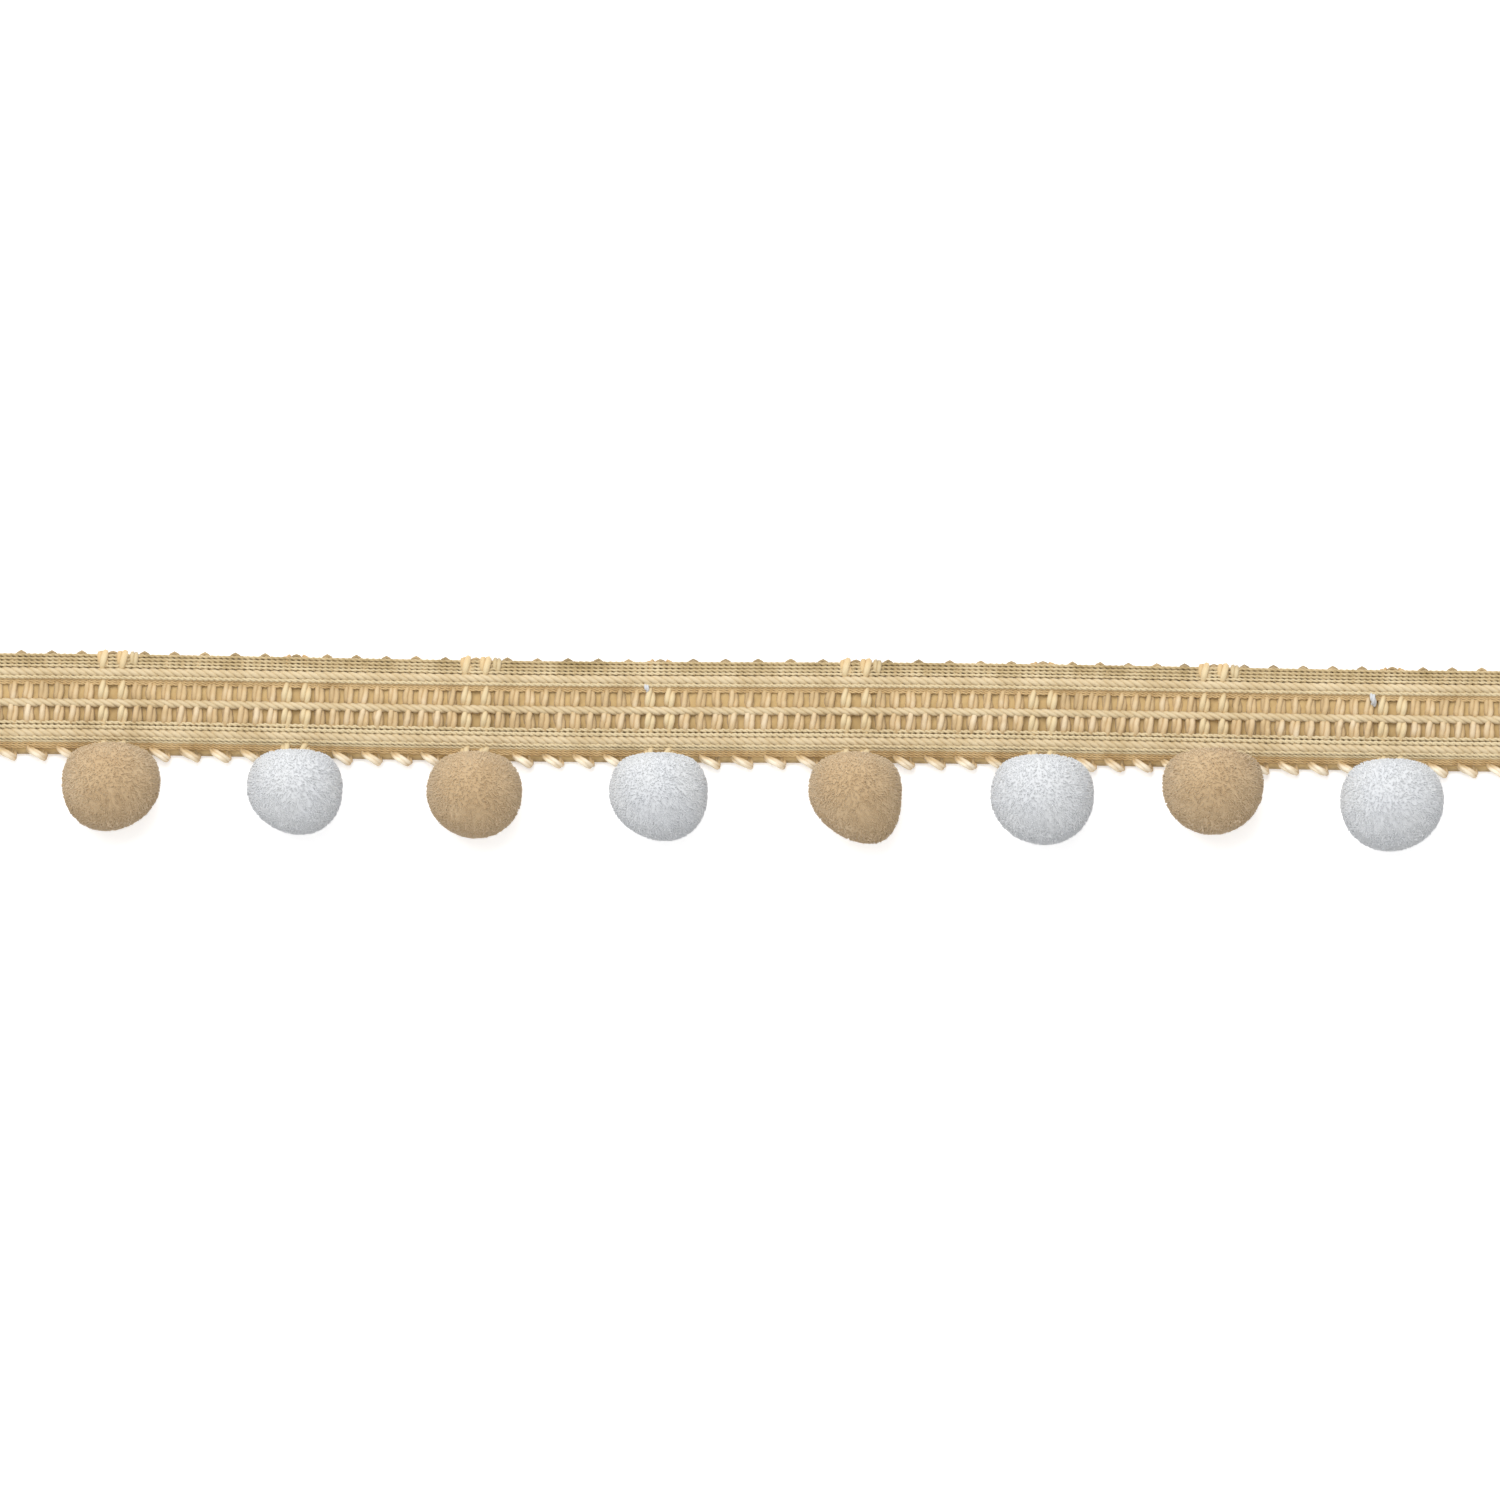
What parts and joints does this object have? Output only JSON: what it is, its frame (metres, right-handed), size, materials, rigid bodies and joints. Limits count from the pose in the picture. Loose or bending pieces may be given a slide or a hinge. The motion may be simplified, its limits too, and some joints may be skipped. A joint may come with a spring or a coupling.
{
  "type": "pompom fringe trim",
  "caption": "Narrow woven heading with lengthwise cords and looped edges, with beige and white yarn pompoms in turn along its lower edge; a cut length lying flat",
  "frame": {"origin": "middle of the trim's outline, on the surface it lies on", "axes": "+X along the trim, +Y towards the plain looped edge, away from the pompoms, +Z out of the face"},
  "size_m": [0.155, 0.0188, 0.0101],
  "materials": {
    "heading_yarn": "woven cream and gold yarn with a soft lustre",
    "tie_yarn": "plied cream yarn with a soft lustre",
    "pompom_beige": "short cut yarn pile, matte beige",
    "pompom_white": "short cut yarn pile, matte white"
  },
  "bodies": {
    "root": {"header": "heading_yarn", "pompom_1": "pompom_beige", "pompom_2": "pompom_white", "pompom_3": "pompom_beige", "pompom_4": "pompom_white", "pompom_5": "pompom_beige", "pompom_6": "pompom_white", "pompom_7": "pompom_beige", "pompom_8": "pompom_white", "tie_1": "tie_yarn", "tie_2": "tie_yarn", "tie_3": "tie_yarn", "tie_4": "tie_yarn", "tie_5": "tie_yarn", "tie_6": "tie_yarn", "tie_7": "tie_yarn", "tie_8": "tie_yarn"}
  },
  "joints": []
}
